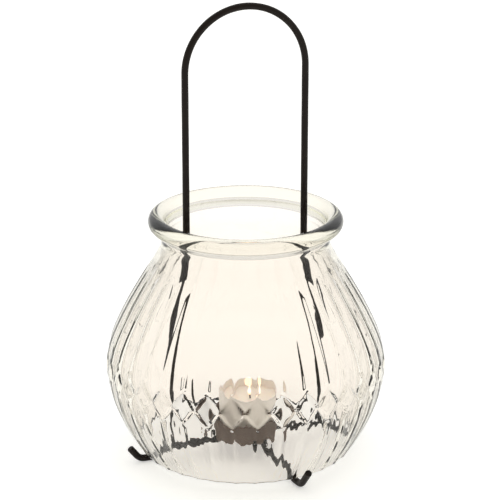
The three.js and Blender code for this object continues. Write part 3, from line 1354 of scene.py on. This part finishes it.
@dataclass
class Tealight:
    """The tealight: a drawn aluminium cup, its wax, the wick with its tab, and the flame.

    Lengths are in millimetres, but the lamp's radius is in metres and its power in watts.
    """

    radius: float = 19.0
    height: float = 26.5
    bead: float = 0.5
    foil: float = 0.5
    foot_rise: float = 0.25
    foot_inner: float = 3.0
    foot_outer: float = 2.4
    rim_gap: float = 1.4
    rim_tuck: float = 0.02
    rib_depth: float = 0.10
    ribs: int = 60
    wax_foot: float = 1.2
    wax_top: float = 20.5
    wax_gap: float = 0.12
    wax_dish: float = 0.5
    wick_radius: float = 0.8
    wick_gap: float = 0.15
    wick_foot: float = 2.0
    wick_top: float = 24.5
    wick_lean: float = 1.6
    wick_pull: float = 2.0
    flame_height: float = 6.4
    flame_radius: float = 1.7
    flame_drop: float = 2.2
    lamp_power: float = 0.0004
    lamp_radius: float = 0.003
    lamp_colour: Colour = (1.0, 0.62, 0.36)

    def cup(self, foot: Vector) -> bpy.types.Object:
        """The foil cup, with fine pressed ribs and a rolled rim.

        Args:
            foot: Middle of the tealight's underside.

        Returns:
            The cup.
        """
        wall = self.radius - self.bead
        inner = wall - self.foil
        roll = [
            (
                wall + self.bead * math.cos(a) - self.rim_tuck,
                self.height - self.bead + self.bead * math.sin(a),
            )
            for a in np.linspace(-math.pi / 3, math.pi, 10)
        ]
        outer = [
            (0.0, self.foot_rise, 0.0),
            (inner - self.foot_inner, self.foot_rise, 0.8),
            (inner - self.foot_outer, 0.0, 0.4),
            (wall, 0.0, 0.8),
            (wall, 3.0, 0.0),
        ]
        wall_top = self.height - self.rim_gap
        outline = rounded(outer)
        outline += [(wall, z) for z in np.linspace(4.0, wall_top, 14)]
        outline += roll
        outline += [(inner + 0.1, z) for z in np.linspace(wall_top, self.wax_top - 1.0, 8)]
        outline += [(inner, self.foil + 0.2), (0.0, self.foil + self.foot_rise)]

        def ribbed(angles: np.ndarray, radii: np.ndarray, heights: np.ndarray) -> np.ndarray:
            """Presses shallow ribs into the upright wall."""
            radius, height = float(radii[0]), float(heights[0])
            rise = float(np.clip((height - 2.0) / 2.0, 0, 1))
            fall = float(np.clip((self.height - 1.6 - height) / 1.5, 0, 1))
            share = rise * fall
            if radius < inner - 0.5 or (radius < wall - 0.2 and height < self.wax_top):
                share = 0.0
            return radii - self.rib_depth * share * (0.5 + 0.5 * np.cos(angles * self.ribs))

        piece = turned("foil_cup", outline, around=self.ribs * 4, centre=foot, shape=ribbed)
        dress(piece, FOIL.make())
        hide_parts("tealight_cup")
        return piece

    def wax(self, foot: Vector) -> bpy.types.Object:
        """The wax, with a melted hollow round the wick and a raised edge at the foil.

        Args:
            foot: Middle of the tealight's underside.

        Returns:
            The wax.
        """
        outer = self.radius - self.bead - self.foil - self.wax_gap
        hole = self.wick_radius + self.wick_gap
        rows = [
            (hole, self.wax_foot),
            (outer, self.wax_foot),
            (outer, self.wax_top - 0.4),
            (outer, self.wax_top + 0.45),
        ]
        for radius in np.linspace(outer - 0.3, hole + 0.1, 30).tolist():
            rim = math.exp(-(outer - radius) / 0.5) * 0.55
            rise = math.exp(-(radius - hole) / 0.45) * 0.5
            dish = -self.wax_dish * (1 - (radius / outer) ** 2) ** 2
            rows.append((radius, self.wax_top + rim + rise + dish))
        rows.append((hole, self.wax_top + 0.2))
        rows.append(rows[0])
        piece = turned("candle_wax", rows, around=96, centre=foot)
        dress(piece, CANDLE_WAX_PAINTED_GLOW.make())
        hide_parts("tealight_wax")
        return piece

    def wick(self, foot: Vector) -> bpy.types.Object:
        """The braided wick, charred, bent and thinned at its top.

        Args:
            foot: Middle of the tealight's underside.

        Returns:
            The wick.
        """
        points = [(0.0, 0.0, z) for z in np.linspace(self.wick_foot, self.wax_top, 30)]
        start, pull = self.wax_top, self.wax_top + self.wick_pull
        for t in np.linspace(0, 1, 24)[1:]:
            lean = self.wick_lean * t**2
            rise = start * (1 - t) ** 2 + pull * 2 * t * (1 - t) + (self.wick_top - 0.1) * t**2
            points.append((0.0, lean, rise))
        path = np.array(points) + np.array(foot)
        steps = np.arange(len(path))
        braid = 0.12 * np.sin(steps * 1.9)
        thinning = 0.25 * np.clip((steps - 44) / 8, 0, 1)
        radii = self.wick_radius * (0.86 + braid - thinning)
        piece = swept("braided_wick", path, radii, around=14, edge=0.2)
        dress(piece, CHARRED_COTTON.make())
        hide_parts("wick")
        return piece

    def flame(self, foot: Vector) -> bpy.types.Object:
        """The flame: a slim drop of light round the top of the wick, drawn to a point.

        Args:
            foot: Middle of the tealight's underside.

        Returns:
            The flame.
        """
        low = foot.z + self.wick_top - self.flame_drop
        outline = [(0.0, 0.0)]
        for t in np.linspace(0, 1, 34)[1:-1]:
            swell = math.sin(math.pi * t**0.62) ** 0.85 * (1 - 0.35 * t)
            outline.append((self.flame_radius * swell, self.flame_height * float(t)))
        outline.append((0.0, self.flame_height))
        centre = Vector((foot.x, foot.y + self.wick_lean * 0.6, low))
        piece = turned("flame", outline, around=40, centre=centre)
        material = FlameLight().make(low * MM, (low + self.flame_height) * MM)
        return dress(piece, material)

    def lamp(self, foot: Vector) -> bpy.types.Object:
        """The small lamp at the flame's tip, which throws the flame's light.

        Args:
            foot: Middle of the tealight's underside.

        Returns:
            The lamp.
        """
        light = bpy.data.lights.new("flame_light", "POINT")
        light.energy = self.lamp_power
        light.color = self.lamp_colour
        light.shadow_soft_size = self.lamp_radius
        holder = bpy.data.objects.new("flame_light", light)
        bpy.context.scene.collection.objects.link(holder)
        tip_z = foot.z + self.wick_top + self.flame_height
        holder.location = Vector((foot.x, foot.y + self.wick_lean, tip_z)) * MM
        return holder

    def build(self) -> list[bpy.types.Object]:
        """Builds the tealight, its flame and the flame's lamp, and dresses the wick's tab.

        Returns:
            The pieces of the tealight.
        """
        foot = axis_of("tealight_cup")
        pieces = [self.cup(foot), self.wax(foot), self.wick(foot), self.flame(foot)]
        for piece in pieces:
            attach(piece, Body.TEALIGHT.value)
        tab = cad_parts["wick_tab"]
        tab.data.materials.clear()
        tab.data.materials.append(TIN.make())
        holder = self.lamp(foot)
        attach(holder, Body.TEALIGHT.value)
        log.info("tealight: %d pieces", len(pieces))
        return pieces


@dataclass
class Studio:
    """The plain pale floor, the soft light round it, and the camera.

    Lengths are in metres, but the lens and the film are in millimetres. Angles are in degrees.
    """

    floor_half: float = 6.0
    floor_gap: float = 0.00002
    azimuth: float = 339.5
    elevation: float = 18.95
    distance: float = 1.24
    target_height: float = 0.1323
    lens: float = 144.0
    film: float = 36.0
    shift_x: float = 0.0086
    far: float = 50.0
    sky: float = 1.05
    horizon: float = 0.85
    overhead_from: float = 0.5
    room_from: float = -0.25
    room_full: float = 0.6
    room_tone: Colour = (0.58, 0.57, 0.50)
    bounces: int = 64

    def floor(self) -> None:
        """Lays the pale floor just under the feet."""
        level = (CAD_BOX[0].z - self.floor_gap) / MM
        half = self.floor_half / MM
        signs = ((-1, -1), (1, -1), (1, 1), (-1, 1))
        corners = np.array([(x * half, y * half, level) for x, y in signs])
        ground = mesh_object("floor", corners, [(0, 1, 2, 3)])
        ground.data.materials.append(FLOOR_PAPER.make())

    def light(self) -> None:
        """A bright soft sky that falls off to the horizon and to the dim front of the room."""
        world = bpy.data.worlds.new("soft_studio")
        bpy.context.scene.world = world
        world.use_nodes = True
        tree = world.node_tree
        way = tree.nodes.new("ShaderNodeTexCoord").outputs["Generated"]
        parts = tree.nodes.new("ShaderNodeSeparateXYZ")
        tree.links.new(way, parts.inputs[0])
        shades = ((0.0, (self.horizon,) * 3), (self.overhead_from, (1.0, 1.0, 1.0)))
        open_sky = colour_ramp(tree, parts.outputs[2], shades)
        toward = tree.nodes.new("ShaderNodeVectorMath")
        toward.operation = "DOT_PRODUCT"
        tree.links.new(way, toward.inputs[0])
        around = math.radians(self.azimuth)
        toward.inputs[1].default_value = (math.sin(around), -math.cos(around), 0.0)
        room = tree.nodes.new("ShaderNodeMapRange")
        room.interpolation_type = "SMOOTHSTEP"
        tree.links.new(toward.outputs["Value"], room.inputs["Value"])
        room.inputs["From Min"].default_value = self.room_from
        room.inputs["From Max"].default_value = self.room_full
        dim = colour_mix(tree, room.outputs["Result"], open_sky, (*self.room_tone, 1.0))
        sky = tree.nodes["Background"]
        tree.links.new(dim, sky.inputs[0])
        sky.inputs[1].default_value = self.sky

    def camera(self) -> None:
        """Sets the camera at its place."""
        data = bpy.data.cameras.new("view")
        data.lens = self.lens
        data.sensor_width = self.film
        data.shift_x = self.shift_x
        data.clip_end = self.far
        camera = bpy.data.objects.new("view", data)
        bpy.context.scene.collection.objects.link(camera)
        around, up = math.radians(self.azimuth), math.radians(self.elevation)
        back = Vector((math.sin(around) * math.cos(up), -math.cos(around) * math.cos(up), math.sin(up)))
        camera.location = Vector((0.0, 0.0, self.target_height)) + back * self.distance
        camera.rotation_mode = "QUATERNION"
        camera.rotation_quaternion = (-back).to_track_quat("-Z", "Y")
        bpy.context.scene.camera = camera

    def build(self) -> None:
        """Builds the studio."""
        self.floor()
        self.light()
        self.camera()
        scene = bpy.context.scene
        scene.view_settings.view_transform = "Standard"
        scene.cycles.max_bounces = self.bounces
        scene.cycles.transmission_bounces = self.bounces
        scene.cycles.transparent_max_bounces = self.bounces
        log.info("studio ready")


def main() -> None:
    """Builds the lantern and its studio."""
    logging.basicConfig(level=logging.INFO)
    Studio().build()
    WireStand().build()
    CandlePan().build()
    Tealight().build()
    GlassShade().build()


if __name__ == "__main__":
    main()
